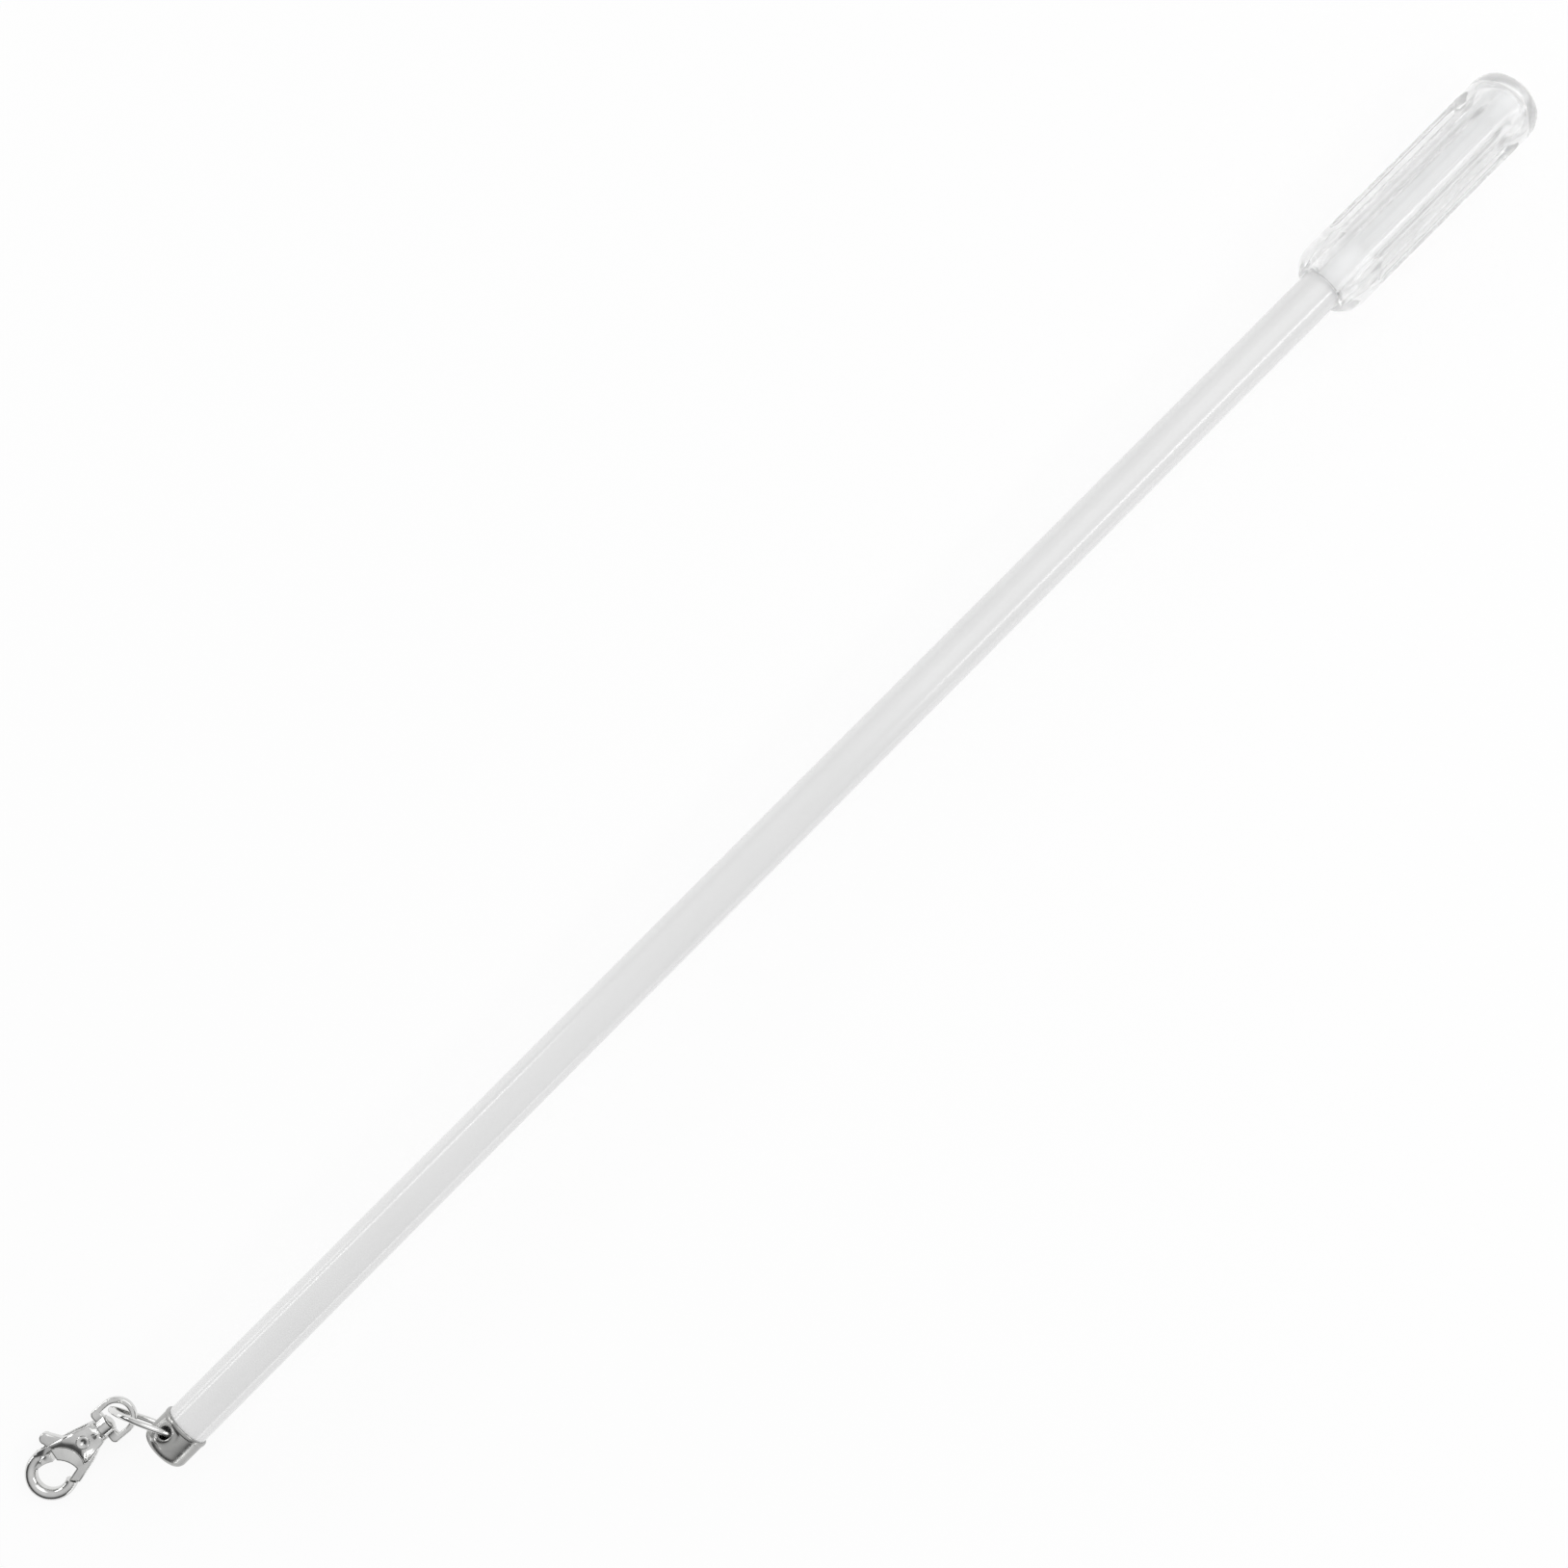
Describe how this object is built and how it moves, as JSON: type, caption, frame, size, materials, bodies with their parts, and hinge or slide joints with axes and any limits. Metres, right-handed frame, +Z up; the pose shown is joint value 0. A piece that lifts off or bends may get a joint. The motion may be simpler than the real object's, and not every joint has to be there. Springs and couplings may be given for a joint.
{
  "type": "curtain wand",
  "caption": "Slim straight pull rod for a curtain, with a clear fluted grip at one end and a metal cap, wire ring and sprung swivel snap hook at the other.",
  "frame": {"origin": "middle of the whole wand's length and width as it lies, at the height of the surface it lies on", "axes": "+Z up, +X along the wand from the hook to the handle, +Y to the side the ring and hook lean to"},
  "size_m": [0.4574, 0.0292, 0.0184],
  "materials": {
    "white_tube": "smooth, glossy, extruded",
    "clear_handle": "clear, colourless, polished",
    "satin_cap": "satin nickel",
    "bright_wire": "bright nickel plate",
    "bright_casting": "bright nickel plate",
    "spring_wire": "drawn spring wire"
  },
  "bodies": {
    "wand": {"wand_tube": "white_tube", "wand_handle": "clear_handle", "end_cap": "satin_cap"},
    "ring": {"link_ring": "bright_wire"},
    "eye": {"swivel_eye": "bright_casting"},
    "hook": {"hook_body": "bright_casting", "pivot_rivet": "bright_casting", "trigger_spring": "spring_wire"},
    "trigger": {"trigger_lever": "bright_casting"}
  },
  "joints": [
    {"name": "ring_swing", "type": "hinge", "parent": "wand", "child": "ring", "pos_m": [-0.19628, -0.00561, 0.01219], "axis": [0.0067, 0.4772, 0.8788], "range_deg": [-20, 140]},
    {"name": "eye_on_ring", "type": "hinge", "parent": "ring", "child": "eye", "pos_m": [-0.203, 0.00557, 0.00359], "axis": [-0.1058, 0.6662, 0.7382], "range_deg": [-150, 50]},
    {"name": "hook_swivel", "type": "hinge", "parent": "eye", "child": "hook", "pos_m": [-0.20964, 0.0063, 0.00305], "axis": [0.9929, -0.0869, 0.0811], "continuous": true},
    {"name": "trigger_hinge", "type": "hinge", "parent": "hook", "child": "trigger", "pos_m": [-0.21288, 0.00709, 0.00278], "axis": [0.0808, -0.0071, -0.9967], "range_deg": [0, 28], "stiffness_Nm_per_rad": 0.004, "springref_deg": -28.65}
  ]
}
